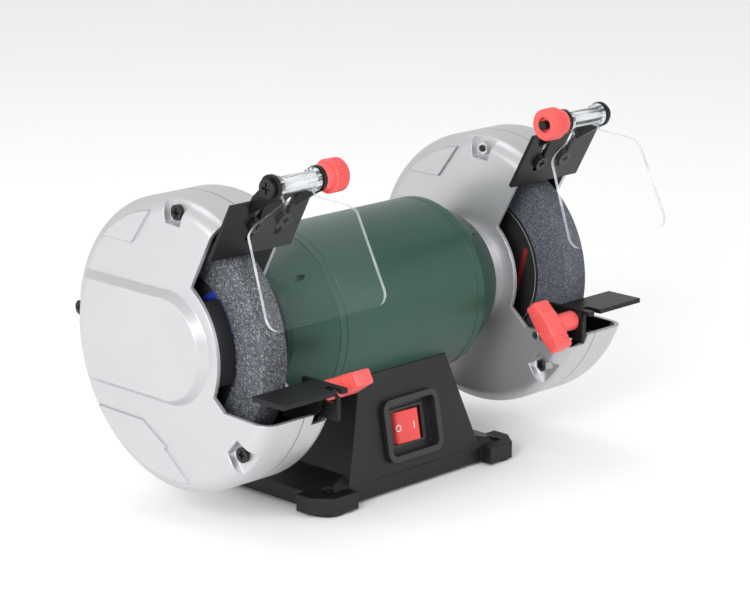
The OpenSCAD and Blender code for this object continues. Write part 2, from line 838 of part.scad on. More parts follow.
module spark_arrester(s, out) {
    color([0.09, 0.09, 0.1]) side(s) in_arrester_frame(out) difference() {
        union() {
            translate([arrester_x, 0, arrester_gap]) cube([arrester_w, arrester_h, arrester_t]);
            ear(ear_in_x);
            ear(ear_out_x);
        }
        for (x = arrester_screws_x) {
            translate([x - slot_w / 2, 14, -1]) cube([slot_w, arrester_h - 18, arrester_t + 2]);
            for (v = [14, arrester_h - 4]) translate([x, v, -1]) cylinder(h = arrester_t + 2, r = slot_w / 2);
        }
        translate([0, axis_up, axis_fwd]) rotate([0, 90, 0]) cylinder(h = 200, r = shield_bolt_d / 2);
    }
}

module arrester_screws(s) {
    head_low = arrester_gap * 2 + arrester_t;
    color([0.07, 0.07, 0.08]) side(s) in_cut_frame() for (x = arrester_screws_x)
        translate([x, arrester_screw_at, 0]) difference() {
            union() {
                translate([0, 0, -web_t - 2]) cylinder(h = web_t + 2 + head_low + eps, r = arrester_screw_r);
                translate([0, 0, head_low]) cylinder(h = 2.6, r = 5);
            }
            for (a = [0, 90]) rotate([0, 0, a]) translate([0, 0, head_low + 2.6])
                cube([1.4, 5.6, 2.6], center = true);
        }
}

// Spindle axis of an eye shield in the YZ plane
function shield_axis(out) = cut_start + cut_dir * (arrester_low + out + axis_up)
    + [-sin(cut_angle), cos(cut_angle)] * axis_fwd;

module at_shield_axis(out) {
    translate([0, shield_axis(out)[0], shield_axis(out)[1]]) children();
}

module eye_shield(s, out) {
    tab_len = norm(tab_drop);
    tab_dir = atan2(tab_drop[1], tab_drop[0]);
    mid = barrel_x + barrel_len / 2;
    bend_w = 84;
    neck = barrel_len / 2 - 4;
    corner = 9;
    color([0.85, 0.9, 0.92, 0.4]) side(s) at_shield_axis(out) difference() {
        union() {
            rod(barrel_x, barrel_len, barrel_r, 0, 0);
            rod(barrel_x, 3, barrel_collar_r, 0, 0);
            rod(barrel_x + barrel_len - 3, 3, barrel_collar_r, 0, 0);
            rotate([tab_dir, 0, 0]) translate([0, 0, -shield_t / 2]) linear_extrude(shield_t)
                polygon([[mid - neck, 0], [mid + neck, 0], [mid + neck, ear_r + 2],
                    [mid + bend_w / 2 + 4, tab_len], [mid - bend_w / 2 + 1, tab_len],
                    [mid - neck, ear_r + 2]]);
            rod(mid - bend_w / 2 + 1, bend_w + 3, shield_t / 2, tab_drop[0], tab_drop[1]);
            translate([0, tab_drop[0], tab_drop[1]]) rotate([pane_dir, 0, 0])
                translate([0, 0, -shield_t / 2]) linear_extrude(shield_t) union() {
                    polygon([[mid - bend_w / 2 + 1, 0], [mid + bend_w / 2 + 4, 0],
                        [mid + pane_w / 2 + 3, pane_h - corner], [mid - pane_w / 2 + 3, pane_h - corner]]);
                    translate([mid - pane_w / 2 + 3 + corner, pane_h - corner - 1])
                        square([pane_w - 2 * corner, corner + 1]);
                    for (x = [-1, 1]) translate([mid + 3 + x * (pane_w / 2 - corner), pane_h - corner])
                        circle(corner);
                }
        }
        rod(barrel_x - 1, barrel_len + 2, shield_bolt_d / 2 + 2 * run_gap, 0, 0);
    }
}

module shield_bolt(s, out) {
    from = ear_in_x - knob_len - 2;
    head_x = ear_out_x + ear_t;
    color([0.06, 0.06, 0.07]) side(s) at_shield_axis(out) difference() {
        union() {
            rod(from, head_x - from + eps, shield_bolt_d / 2, 0, 0);
            rod(head_x, 3, 6, 0, 0);
        }
        for (a = [0, 90]) translate([head_x + 3, 0, 0]) rotate([a, 0, 0])
            cube([3, 1.6, 7], center = true);
    }
}

module shield_knob(s, out) {
    gap = 0.3;
    hub_len = 6;
    from = ear_in_x - gap - knob_len;
    body_len = knob_len - hub_len;
    flutes = 28;
    color([0.93, 0.33, 0.33]) side(s) at_shield_axis(out) difference() {
        union() {
            translate([from, 0, 0]) rotate([0, 90, 0]) rotate_extrude()
                polygon([[0, 0], [knob_r - 1.6, 0], [knob_r, 1.6], [knob_r, body_len], [0, body_len]]);
            rod(from, knob_len, knob_r - 2.3, 0, 0);
        }
        rod(from - 1, knob_len + 2, shield_bolt_d / 2 + run_gap, 0, 0);
        rod(from - 1, 4, 4.6, 0, 0);
        for (i = [0:flutes - 1]) rotate([i * 360 / flutes, 0, 0])
            rod(from + 2.5, body_len, 0.55, 0, knob_r + 0.15);
    }
}

// ---------- tool rests ----------

module tool_rest(s, out) {
    slot_back = rest_bolt_y + 18;
    slot_front = rest_bolt_y - 4;
    front = rest_back - rest_depth;
    color([0.1, 0.1, 0.11]) side(s) translate([0, -out, 0]) difference() {
        union() {
            translate([tongue_x, front, rest_top - rest_t]) cube([rest_w, rest_depth, rest_t]);
            translate([tongue_x, rest_bolt_y - 9, tongue_low]) cube([rest_t, 30, rest_top - tongue_low]);
        }
        translate([tongue_x - 1, 0, rest_bolt_z]) {
            translate([0, slot_front, -rest_bolt_d / 2 - 0.3])
                cube([rest_t + 2, slot_back - slot_front, rest_bolt_d + 0.6]);
            for (y = [slot_front, slot_back]) translate([0, y, 0]) rotate([0, 90, 0])
                cylinder(h = rest_t + 2, r = rest_bolt_d / 2 + 0.3);
        }
        translate([tongue_x + rest_t + 2, front - 1, rest_top - rest_t - 1])
            cube([6, 12, rest_t + 2]);
        translate([tongue_x - 1, rest_bolt_y - 9, rest_top - 4]) rotate([0, 90, 0])
            cylinder(h = 12, r = 3);
    }
}

module rest_bracket(s) {
    foot_y = -76;
    foot_w = 12;
    low = shaft_h - 37.5;
    color([0.12, 0.12, 0.13]) side(s) difference() {
        union() {
            yz(bracket_x, bracket_t) polygon([[rest_bolt_y - 7, rest_top - rest_t - 0.5],
                [rest_bolt_y - 7, lip_z + 2], [foot_y - 9, low + 1], [foot_y + foot_w, low],
                [foot_y + foot_w, low + 8.7], [rest_bolt_y + 12, rest_top - rest_t - 0.5]]);
            translate([guard_in + guard_wall, foot_y, low])
                cube([bracket_x - guard_in - guard_wall + 1, foot_w, 3]);
            translate([guard_in + guard_wall, foot_y, low]) cube([3, foot_w, 8.7]);
        }
        rod(bracket_x - 1, 6, rest_bolt_d / 2, rest_bolt_y, rest_bolt_z);
        bracket_rivet_bores();
    }
}

module bracket_rivet_spots() {
    for (y = [-73, -67]) translate([0, y, shaft_h - 31.5]) rotate([0, 90, 0]) children();
}

module bracket_rivet_bores() {
    bracket_rivet_spots() translate([0, 0, guard_in - 1]) cylinder(h = 8, r = 1.5);
}

module bracket_rivets() {
    color([0.5, 0.5, 0.52]) for (s = [-1, 1]) side(s) bracket_rivet_spots() {
        translate([0, 0, guard_in - 1]) cylinder(h = 8.2, r = 1.5);
        translate([0, 0, guard_in - 1]) cylinder(h = 1, r = 2.6);
        translate([0, 0, guard_in + guard_wall + 3]) cylinder(h = 1.2, r = 2.6);
    }
}

module rest_bolt(s) {
    from = tongue_x - 24;
    color([0.08, 0.08, 0.09]) side(s) {
        rod(from, bracket_x + bracket_t - from + eps, rest_bolt_d / 2, rest_bolt_y, rest_bolt_z);
        rod(bracket_x + bracket_t, 2.6, rest_bolt_d / 2 + 1.6, rest_bolt_y, rest_bolt_z);
    }
}

// Two-lobed clamp knob; turn is the angle it was left at
module rest_knob(s, turn) {
    hub_r = 6.5;
    hub_len = 15;
    bar_len = 26;
    bar_t = 9;
    bar_depth = 14;
    from = tongue_x - 0.3 - hub_len - bar_depth;
    color([0.93, 0.33, 0.33]) side(s) translate([0, rest_bolt_y, rest_bolt_z]) rotate([turn, 0, 0])
        difference() {
            union() {
                rod(from + bar_depth - 1, hub_len + 1, hub_r, 0, 0);
                translate([from, 0, 0]) rotate([90, 0, 90]) linear_extrude(bar_depth) union() {
                    square([bar_len, bar_t], center = true);
                    for (x = [-1, 1]) translate([x * bar_len / 2, 0]) circle(bar_t / 2);
                }
            }
            rod(from - 1, bar_depth + hub_len + 2, rest_bolt_d / 2 + run_gap, 0, 0);
        }
}

// ---------- switch and wiring ----------

module switch_bezel() {
    box_depth = bezel_sink + switch_flange_t;
    color([0.2, 0.2, 0.21]) on_panel() difference() {
        union() {
            linear_extrude(bezel_proud) round_rect(bezel_w, bezel_h, 7);
            translate([0, 0, -box_depth - 2]) linear_extrude(box_depth + 3)
                round_rect(bezel_w - 4.4, bezel_h - 4.4, 4.8);
        }
        translate([0, 0, -bezel_sink]) linear_extrude(30)
            round_rect(bezel_w - 2 * bezel_rim, bezel_h - 2 * bezel_rim, 3.5);
        cube([rocker_w + 2, rocker_h + 2, 60], center = true);
    }
}

module switch_body() {
    body_h = 18;
    color([0.07, 0.07, 0.08]) on_panel() difference() {
        union() {
            translate([0, 0, -bezel_sink]) linear_extrude(switch_flange_t)
                round_rect(rocker_w + 6, rocker_h + 5, 1.5);
            translate([0, 0, -bezel_sink - body_h]) linear_extrude(body_h + 0.5)
                square([rocker_w + 2, rocker_h + 2], center = true);
        }
        translate([0, 0, -bezel_sink - 10]) linear_extrude(30)
            square([rocker_w + 0.6, rocker_h + 0.6], center = true);
        translate([0, 0, -bezel_sink - 4]) rotate([90, 0, 0])
            cylinder(h = rocker_h + 1.6, r = 1.2, center = true);
    }
}

// Rocker pivots on a pin that runs up the panel; O is pressed in
module switch_rocker() {
    tilt = 7;
    color([0.93, 0.33, 0.33]) on_panel() translate([0, 0, -bezel_sink - 4]) union() {
        rotate([0, -tilt, 0]) intersection() {
            translate([-rocker_w / 2 + 0.4, -rocker_h / 2, -2]) cube([rocker_w - 0.8, rocker_h, 12]);
            translate([0, 0, -2.5]) rotate([90, 0, 0]) cylinder(h = 30, r = rocker_w / 2, center = true);
            translate([-20, -20, -3]) cube([40, 40, 10.5]);
        }
        rotate([90, 0, 0]) cylinder(h = rocker_h + 1.4, r = 1.15, center = true);
    }
}

module capacitor() {
    color([0.85, 0.85, 0.82]) union() {
        translate([-40, 20, 24]) rotate([0, 90, 0]) cylinder(h = 50, r = 14);
        for (y = [-4, 4]) translate([10 - eps, 20 + y, 23]) cube([7, 0.9, 5]);
    }
}

module terminal_block() {
    color([0.85, 0.83, 0.75]) difference() {
        translate([22, 4, skirt_low + plate_t]) cube([30, 14, 12]);
        for (i = [0:3]) translate([26.5 + i * 7, 11, 8]) cylinder(h = 12, r = 1.8);
    }
}

module cable_gland() {
    color([0.08, 0.08, 0.08]) on_back() difference() {
        union() {
            translate([0, 0, -12]) cylinder(h = 24, r = 7.8);
            cylinder(h = 4, r = 11);
            translate([0, 0, -base_wall - 3.2]) cylinder(h = 3, r = 11, $fn = 6);
        }
        translate([0, 0, -30]) cylinder(h = 60, r = 4);
    }
}

base_casting();
bottom_plate();
bottom_plate_screws();
rubber_feet();
motor_shell();
end_bell(-1);  // left_end_bell
end_bell(1);  // right_end_bell
stator_core();
stator_windings();
through_bolts();
saddle_bolts();
bearing_outer_rings();
bearing_inner_rings();
bearing_balls();
wave_washer();
shaft();
rotor_core();
inner_flanges();
outer_flanges();
spindle_nuts();
wheel(-1, [0.42, 0.42, 0.45]);  // left_wheel
wheel(1, [0.47, 0.48, 0.52]);  // right_wheel
wheel_blotters(-1, [0.1, 0.2, 0.55]);  // left_wheel_blotters
wheel_blotters(1, [0.08, 0.08, 0.08]);  // right_wheel_blotters
inner_guard(-1);  // left_inner_guard
inner_guard(1);  // right_inner_guard
outer_cover(-1);  // left_outer_cover
outer_cover(1);  // right_outer_cover
cover_screws(-1);  // left_cover_screws
cover_screws(1);  // right_cover_screws
cover_nuts(-1);  // left_cover_nuts
cover_nuts(1);  // right_cover_nuts
guard_bolts();
spark_arrester(-1, left_arrester_out);  // left_spark_arrester
spark_arrester(1, right_arrester_out);  // right_spark_arrester
arrester_screws(-1);  // left_arrester_screws
arrester_screws(1);  // right_arrester_screws
eye_shield(-1, left_arrester_out);  // left_eye_shield
eye_shield(1, right_arrester_out);  // right_eye_shield
shield_bolt(-1, left_arrester_out);  // left_shield_bolt
shield_bolt(1, right_arrester_out);  // right_shield_bolt
shield_knob(-1, left_arrester_out);  // left_shield_knob
shield_knob(1, right_arrester_out);  // right_shield_knob
tool_rest(-1, left_rest_out);  // left_tool_rest
tool_rest(1, 0);  // right_tool_rest
rest_bracket(-1);  // left_rest_bracket
rest_bracket(1);  // right_rest_bracket
bracket_rivets();
rest_bolt(-1);  // left_rest_bolt
rest_bolt(1);  // right_rest_bolt
rest_knob(-1, -28);  // left_rest_knob
rest_knob(1, 49);  // right_rest_knob
switch_bezel();
switch_body();
switch_rocker();
capacitor();
terminal_block();
cable_gland();
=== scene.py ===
import bpy
import json
import math
from mathutils import Matrix, Vector


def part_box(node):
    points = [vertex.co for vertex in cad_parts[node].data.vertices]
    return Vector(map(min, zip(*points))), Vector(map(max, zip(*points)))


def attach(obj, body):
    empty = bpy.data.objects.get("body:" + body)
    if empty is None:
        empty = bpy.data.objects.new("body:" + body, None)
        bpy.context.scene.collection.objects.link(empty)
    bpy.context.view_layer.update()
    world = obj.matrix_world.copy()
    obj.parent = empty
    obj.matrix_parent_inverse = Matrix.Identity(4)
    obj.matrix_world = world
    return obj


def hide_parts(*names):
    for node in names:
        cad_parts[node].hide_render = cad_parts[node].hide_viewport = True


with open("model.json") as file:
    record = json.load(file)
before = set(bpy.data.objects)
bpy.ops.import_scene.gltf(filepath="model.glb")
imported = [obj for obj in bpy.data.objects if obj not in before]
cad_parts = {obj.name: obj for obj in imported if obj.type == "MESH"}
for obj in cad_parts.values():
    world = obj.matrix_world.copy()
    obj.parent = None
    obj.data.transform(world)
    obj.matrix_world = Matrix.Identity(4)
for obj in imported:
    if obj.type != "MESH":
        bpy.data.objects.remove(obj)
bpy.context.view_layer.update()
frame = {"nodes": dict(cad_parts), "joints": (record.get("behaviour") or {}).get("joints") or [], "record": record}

nodes = frame["nodes"]
joints = {joint["name"]: joint for joint in frame["joints"]}
print("frame loaded:", len(nodes), "nodes")

scene = bpy.context.scene
scene.view_settings.view_transform = "Standard"

# camera, floor and studio light

cameraView = {
    "place": (-1.1492, -1.1667, 0.5481),
    "target": (0.02223, 0.0, 0.10778),
    "lens": 125.4,
    "roll": 0.0,
}


def aimAt(thing, target, roll=0.0):
    turn = (Vector(target) - thing.location).to_track_quat("-Z", "Y")
    thing.rotation_euler = (turn.to_matrix() @ Matrix.Rotation(math.radians(roll), 3, "Z")).to_euler()


cameraData = bpy.data.cameras.new("studioCamera")
camera = bpy.data.objects.new("studioCamera", cameraData)
scene.collection.objects.link(camera)
camera.location = cameraView["place"]
cameraData.lens = cameraView["lens"]
cameraData.sensor_width = 36.0
cameraData.clip_end = 20.0
aimAt(camera, cameraView["target"], cameraView["roll"])
scene.camera = camera

softLights = {
    "keySoftbox": {"place": (-1.7, -0.8, 0.9), "size": 0.9, "power": 27.0},
    "frontFill": {"place": (0.7, -1.6, 0.7), "size": 1.0, "power": 5.5},
    "topStrip": {"place": (0.2, 0.5, 1.5), "size": 0.8, "power": 3.0},
    "leftEdge": {"place": (-1.6, 0.5, 0.5), "size": 0.7, "power": 3.5},
}
for name, light in softLights.items():
    data = bpy.data.lights.new(name, "AREA")
    data.size = light["size"]
    data.energy = light["power"]
    lamp = bpy.data.objects.new(name, data)
    scene.collection.objects.link(lamp)
    lamp.location = light["place"]
    aimAt(lamp, (0.0, 0.0, 0.1))

world = bpy.data.worlds.new("paleStudio")
world.use_nodes = True
world.node_tree.nodes["Background"].inputs["Color"].default_value = (1.0, 1.0, 1.0, 1.0)
skyLook = {"lighting": 0.80, "seen": 1.0}
rayKind = world.node_tree.nodes.new("ShaderNodeLightPath")
skyLevel = world.node_tree.nodes.new("ShaderNodeMapRange")
skyLevel.inputs["To Min"].default_value = skyLook["lighting"]
skyLevel.inputs["To Max"].default_value = skyLook["seen"]
world.node_tree.links.new(rayKind.outputs["Is Camera Ray"], skyLevel.inputs["Value"])
world.node_tree.links.new(skyLevel.outputs[0], world.node_tree.nodes["Background"].inputs["Strength"])
scene.world = world

bpy.ops.object.select_all(action="DESELECT")
bpy.ops.mesh.primitive_plane_add(size=8.0, location=(0.0, 0.0, -0.0002))
studioFloor = bpy.context.object
studioFloor.name = "studioFloor"
print("studio ready")

# finishes


def newFinish(name):
    material = bpy.data.materials.new(name)
    material.use_nodes = True
    tree = material.node_tree
    return material, tree, tree.nodes["Principled BSDF"]


def addNode(tree, kind, **settings):
    node = tree.nodes.new(kind)
    for key, value in settings.items():
        if hasattr(node, key):
            setattr(node, key, value)
        else:
            node.inputs[key].default_value = value
    return node


def setSocket(node, name, value):
    node.inputs[name].default_value = value


def mathNode(tree, operation, first, second=None, third=None):
    node = addNode(tree, "ShaderNodeMath", operation=operation)
    for index, value in enumerate((first, second, third)):
        if value is None:
            continue
        if isinstance(value, (int, float)):
            node.inputs[index].default_value = value
        else:
            tree.links.new(value, node.inputs[index])
    return node.outputs[0]


def mixColors(tree, factor, first, second):
    node = addNode(tree, "ShaderNodeMix", data_type="RGBA")
    for index, value in ((0, factor), (6, first), (7, second)):
        if isinstance(value, (int, float)):
            node.inputs[index].default_value = value
        elif isinstance(value, tuple):
            node.inputs[index].default_value = (*value, 1.0)
        else:
            tree.links.new(value, node.inputs[index])
    return node.outputs[2]


def objectPoint(tree):
    return addNode(tree, "ShaderNodeTexCoord").outputs["Object"]


def noiseValue(tree, point, scale, detail=3.0, rough=0.55):
    node = addNode(tree, "ShaderNodeTexNoise")
    setSocket(node, "Scale", scale)
    setSocket(node, "Detail", detail)
    setSocket(node, "Roughness", rough)
    tree.links.new(point, node.inputs["Vector"])
    return node.outputs["Fac"]


def softEdges(tree, shader, height, strength, distance, edge):
    bump = addNode(tree, "ShaderNodeBump")
    setSocket(bump, "Strength", strength)
    setSocket(bump, "Distance", distance)
    tree.links.new(height, bump.inputs["Height"])
    if edge:
        rounding = addNode(tree, "ShaderNodeBevel", samples=4)
        setSocket(rounding, "Radius", edge)
        tree.links.new(rounding.outputs[0], bump.inputs["Normal"])
    tree.links.new(bump.outputs[0], shader.inputs["Normal"])


def grainedFinish(name, look):
    # base colour drifts a little, roughness follows a finer grain, and both raise a faint bump
    material, tree, shader = newFinish(name)
    point = objectPoint(tree)
    drift = noiseValue(tree, point, look["driftScale"])
    grain = noiseValue(tree, point, look["grainScale"], 4.0)
    ramp = mathNode(tree, "MULTIPLY_ADD", drift, look["drift"], 0.5 - look["drift"] / 2)
    dark = tuple(channel * (1 - look["shade"]) for channel in look["color"])
    light = tuple(min(1.0, channel * (1 + look["shade"])) for channel in look["color"])
    color = mixColors(tree, ramp, dark, light)
    tree.links.new(color, shader.inputs["Base Color"])
    rough = mathNode(tree, "MULTIPLY_ADD", grain, look["roughDrift"], look["rough"] - look["roughDrift"] / 2)
    tree.links.new(rough, shader.inputs["Roughness"])
    setSocket(shader, "Metallic", look.get("metallic", 0.0))
    setSocket(shader, "Specular IOR Level", look.get("specular", 0.5))
    setSocket(shader, "Coat Weight", look.get("coat", 0.0))
    setSocket(shader, "Coat Roughness", look.get("coatRough", 0.2))
    softEdges(tree, shader, grain, look["bump"], look["bumpDepth"], look.get("edge", 0.0006))
    return material, tree, shader, color


grainedLooks = {
    "motorGreen": {"color": (0.013, 0.058, 0.041), "shade": 0.10, "drift": 0.8, "driftScale": 18.0,
                   "grainScale": 900.0, "rough": 0.36, "roughDrift": 0.10, "bump": 0.12, "bumpDepth": 0.0004,
                   "coat": 0.12, "coatRough": 0.25, "specular": 0.4, "edge": 0.0008},
    "baseBlack": {"color": (0.007, 0.0075, 0.009), "shade": 0.18, "specular": 0.35, "drift": 0.9,
                  "driftScale": 25.0,
                  "grainScale": 1400.0, "rough": 0.42, "roughDrift": 0.14, "bump": 0.25, "bumpDepth": 0.0004,
                  "edge": 0.0014},
    "blackSteel": {"color": (0.006, 0.006, 0.007), "shade": 0.2, "specular": 0.25, "drift": 0.9,
                   "driftScale": 60.0,
                   "grainScale": 1600.0, "rough": 0.38, "roughDrift": 0.12, "bump": 0.10, "bumpDepth": 0.0003,
                   "coat": 0.0, "edge": 0.0005},
    "blackScrew": {"color": (0.012, 0.012, 0.014), "shade": 0.2, "drift": 0.9, "driftScale": 200.0,
                   "grainScale": 2200.0, "rough": 0.32, "roughDrift": 0.12, "bump": 0.10, "bumpDepth": 0.0002,
                   "metallic": 0.4, "edge": 0.0004},
    "zincSteel": {"color": (0.62, 0.62, 0.63), "shade": 0.12, "drift": 0.9, "driftScale": 240.0,
                  "grainScale": 1800.0, "rough": 0.30, "roughDrift": 0.14, "bump": 0.08, "bumpDepth": 0.0002,
                  "metallic": 1.0, "edge": 0.0004},
    "groundSteel": {"color": (0.60, 0.60, 0.61), "shade": 0.08, "drift": 0.9, "driftScale": 500.0,
                    "grainScale": 2600.0, "rough": 0.24, "roughDrift": 0.12, "bump": 0.08,
                    "bumpDepth": 0.0002,
                    "metallic": 1.0, "edge": 0.0003},
    "flangeSteel": {"color": (0.42, 0.42, 0.44), "shade": 0.12, "drift": 0.9, "driftScale": 120.0,
                    "grainScale": 1500.0, "rough": 0.40, "roughDrift": 0.16, "bump": 0.12,
                    "bumpDepth": 0.0003,
                    "metallic": 1.0, "edge": 0.0006},
    "coreSteel": {"color": (0.26, 0.26, 0.28), "shade": 0.2, "drift": 0.9, "driftScale": 90.0,
                  "grainScale": 1300.0, "rough": 0.5, "roughDrift": 0.2, "bump": 0.2, "bumpDepth": 0.0003,
                  "metallic": 0.9, "edge": 0.0004},
    "windingCopper": {"color": (0.55, 0.22, 0.08), "shade": 0.2, "drift": 0.9, "driftScale": 300.0,
                      "grainScale": 900.0, "rough": 0.35, "roughDrift": 0.2, "bump": 0.6, "bumpDepth": 0.0006,
                      "metallic": 0.8, "edge": 0.0008},
    "knobRed": {"color": (0.78, 0.095, 0.088), "shade": 0.08, "drift": 0.8, "driftScale": 80.0,
                "grainScale": 1500.0, "rough": 0.42, "roughDrift": 0.12, "bump": 0.12, "bumpDepth": 0.0003,
                "edge": 0.0006},
    "rockerRed": {"color": (0.74, 0.05, 0.045), "shade": 0.06, "drift": 0.8, "driftScale": 90.0,
                  "grainScale": 1800.0, "rough": 0.28, "roughDrift": 0.08, "bump": 0.05, "bumpDepth": 0.0002,
                  "coat": 0.3, "edge": 0.0007},
    "switchBlack": {"color": (0.016, 0.016, 0.018), "shade": 0.2, "drift": 0.9, "driftScale": 90.0,
                    "grainScale": 1700.0, "rough": 0.40, "roughDrift": 0.12, "bump": 0.15,
                    "bumpDepth": 0.0003,
                    "edge": 0.0006},
    "footRubber": {"color": (0.012, 0.012, 0.012), "shade": 0.25, "drift": 0.9, "driftScale": 150.0,
                   "grainScale": 1200.0, "rough": 0.72, "roughDrift": 0.16, "bump": 0.3, "bumpDepth": 0.0004,
                   "edge": 0.0006},
    "capacitorWhite": {"color": (0.62, 0.62, 0.58), "shade": 0.06, "drift": 0.8, "driftScale": 60.0,
                       "grainScale": 900.0, "rough": 0.35, "roughDrift": 0.1, "bump": 0.06,
                       "bumpDepth": 0.0003, "edge": 0.0008},
    "terminalCream": {"color": (0.60, 0.55, 0.42), "shade": 0.06, "drift": 0.8, "driftScale": 120.0,
                      "grainScale": 1400.0, "rough": 0.45, "roughDrift": 0.1, "bump": 0.1,
                      "bumpDepth": 0.0003, "edge": 0.0005},
    "markWhite": {"color": (0.80, 0.80, 0.78), "shade": 0.05, "drift": 0.8, "driftScale": 300.0,
                  "grainScale": 1800.0, "rough": 0.45, "roughDrift": 0.1, "bump": 0.05,
                  "bumpDepth": 0.0002, "edge": 0.0},
}
finishes = {name: grainedFinish(name, look)[0] for name, look in grainedLooks.items()}

guardLook = {
    "color": (0.52, 0.52, 0.535), "shade": 0.05, "drift": 0.8, "driftScale": 22.0, "grainScale": 1500.0,
    "rough": 0.34, "roughDrift": 0.12, "bump": 0.10, "bumpDepth": 0.0003, "metallic": 0.62, "edge": 0.0012,
    # the inside colour is painted shade: near black for the unlit inside of the guard
    "center": (-0.0095, 0.115), "insideShadeColor": (0.010, 0.010, 0.011),
    "wheelSpaces": ((0.0894, 0.1132, 0.1563), (0.0830, 0.1087, 0.1608)),
    "pockets": ((94.0, 0.084), (222.0, 0.082), (5.0, 0.088)), "pocketReach": 0.014,
    "pocketSides": (0.1145, 0.1555), "seam": (0.1327, 0.1333), "seamColor": (0.05, 0.05, 0.052),
}


def between(tree, value, low, high):
    return mathNode(tree, "MULTIPLY", mathNode(tree, "GREATER_THAN", value, low),
                    mathNode(tree, "LESS_THAN", value, high))


def reach(tree, across, up, center):
    # distance from a line along X through the centre (y, z)
    first = mathNode(tree, "SUBTRACT", across, center[0])
    second = mathNode(tree, "SUBTRACT", up, center[1])
    return mathNode(tree, "SQRT", mathNode(tree, "ADD", mathNode(tree, "MULTIPLY", first, first),
                                           mathNode(tree, "MULTIPLY", second, second)))


def guardFinish():
    # silver paint outside and in the screw pockets; the wheel space inside is painted flat black as painted shade
    # for the unlit interior
    look = guardLook
    material, tree, shader, color = grainedFinish("guardSilver", look)
    apart = addNode(tree, "ShaderNodeSeparateXYZ")
    tree.links.new(objectPoint(tree), apart.inputs[0])
    across, up = apart.outputs["Y"], apart.outputs["Z"]
    radius = reach(tree, across, up, look["center"])
    side = mathNode(tree, "ABSOLUTE", apart.outputs["X"])
    # inside masks the wheel space, where painted shade replaces the silver
    inside = 0.0
    for limit, low, high in look["wheelSpaces"]:
        space = mathNode(tree, "MULTIPLY", mathNode(tree, "LESS_THAN", radius, limit),
                         between(tree, side, low, high))
        inside = mathNode(tree, "MAXIMUM", space, inside)
    pockets = 0.0
    for angle, length in look["pockets"]:
        spot = (look["center"][0] + length * math.cos(math.radians(angle)),
                look["center"][1] + length * math.sin(math.radians(angle)))
        near = mathNode(tree, "LESS_THAN", reach(tree, across, up, spot), look["pocketReach"])
        pockets = mathNode(tree, "MAXIMUM", near, pockets)
    openSide = between(tree, side, *look["pocketSides"])
    pockets = mathNode(tree, "MULTIPLY", pockets, mathNode(tree, "SUBTRACT", 1.0, openSide))
    inside = mathNode(tree, "MULTIPLY", inside, mathNode(tree, "SUBTRACT", 1.0, pockets))
    seam = between(tree, side, *look["seam"])
    color = mixColors(tree, seam, color, look["seamColor"])
    tree.links.new(mixColors(tree, inside, color, look["insideShadeColor"]), shader.inputs["Base Color"])
    metal = mathNode(tree, "MULTIPLY", mathNode(tree, "SUBTRACT", 1.0, inside), look["metallic"])
    tree.links.new(metal, shader.inputs["Metallic"])
    return material


finishes["guardSilver"] = guardFinish()

# the light tone is a painted glint for a few bright cells; the dark tone serves random patches and the painted
# shade in the pores
gritLooks = {
    "coarseGrit": {"grain": 1350.0, "dark": (0.030, 0.032, 0.038), "mid": (0.098, 0.104, 0.120),
                   "light": (0.22, 0.23, 0.25), "bump": 0.5},
    "fineGrit": {"grain": 1700.0, "dark": (0.036, 0.040, 0.050), "mid": (0.088, 0.097, 0.120),
                 "light": (0.18, 0.19, 0.22), "bump": 0.45},
}


def gritFinish(name, look):
    # bonded grains: every cell has its own grey, with pores darkened as painted shade and a few bright cells as
    # painted glints
    material, tree, shader = newFinish(name)
    point = objectPoint(tree)
    cells = addNode(tree, "ShaderNodeTexVoronoi")
    setSocket(cells, "Scale", look["grain"])
    tree.links.new(point, cells.inputs["Vector"])
    tone = addNode(tree, "ShaderNodeSeparateColor")
    tree.links.new(cells.outputs["Color"], tone.inputs[0])
    paintedGlint = mathNode(tree, "GREATER_THAN", tone.outputs["Green"], 0.86)
    shadedPore = mathNode(tree, "LESS_THAN", tone.outputs["Blue"], 0.22)
    patch = noiseValue(tree, point, 70.0)
    body = mixColors(tree, tone.outputs["Red"], tuple(0.55 * c for c in look["mid"]),
                     tuple(1.5 * c for c in look["mid"]))
    body = mixColors(tree, mathNode(tree, "MULTIPLY", patch, 0.35), body, look["dark"])
    body = mixColors(tree, paintedGlint, body, look["light"])
    body = mixColors(tree, shadedPore, body, look["dark"])
    tree.links.new(body, shader.inputs["Base Color"])
    rough = mathNode(tree, "MULTIPLY_ADD", tone.outputs["Red"], 0.3, 0.6)
    tree.links.new(rough, shader.inputs["Roughness"])
    height = mathNode(tree, "ADD", tone.outputs["Red"], mathNode(tree, "MULTIPLY", shadedPore, -0.8))
    softEdges(tree, shader, height, look["bump"], 0.0006, 0.0)
    return material


for name, look in gritLooks.items():
    finishes[name] = gritFinish(name, look)

labelLooks = {
    # blue washer: its paper tone is painted shade, and the blue field covers only the upper lit part
    "blueLabel": {"paper": (0.012, 0.013, 0.018), "print": (0.010, 0.040, 0.34), "rings": (),
                  "turn": 148.0, "barFrom": 0.030, "barTo": 0.060, "barLow": -0.0168,
                  "barHigh": 0.0168},
    "blackLabel": {"paper": (0.012, 0.012, 0.013), "print": (0.24, 0.012, 0.012),
                   "rings": ((0.0480, 0.0486, (0.30, 0.30, 0.31)),),
                   "turn": 195.4, "barFrom": 0.0311, "barTo": 0.0350, "barLow": -0.0290,
                   "barHigh": 0.0020},
}


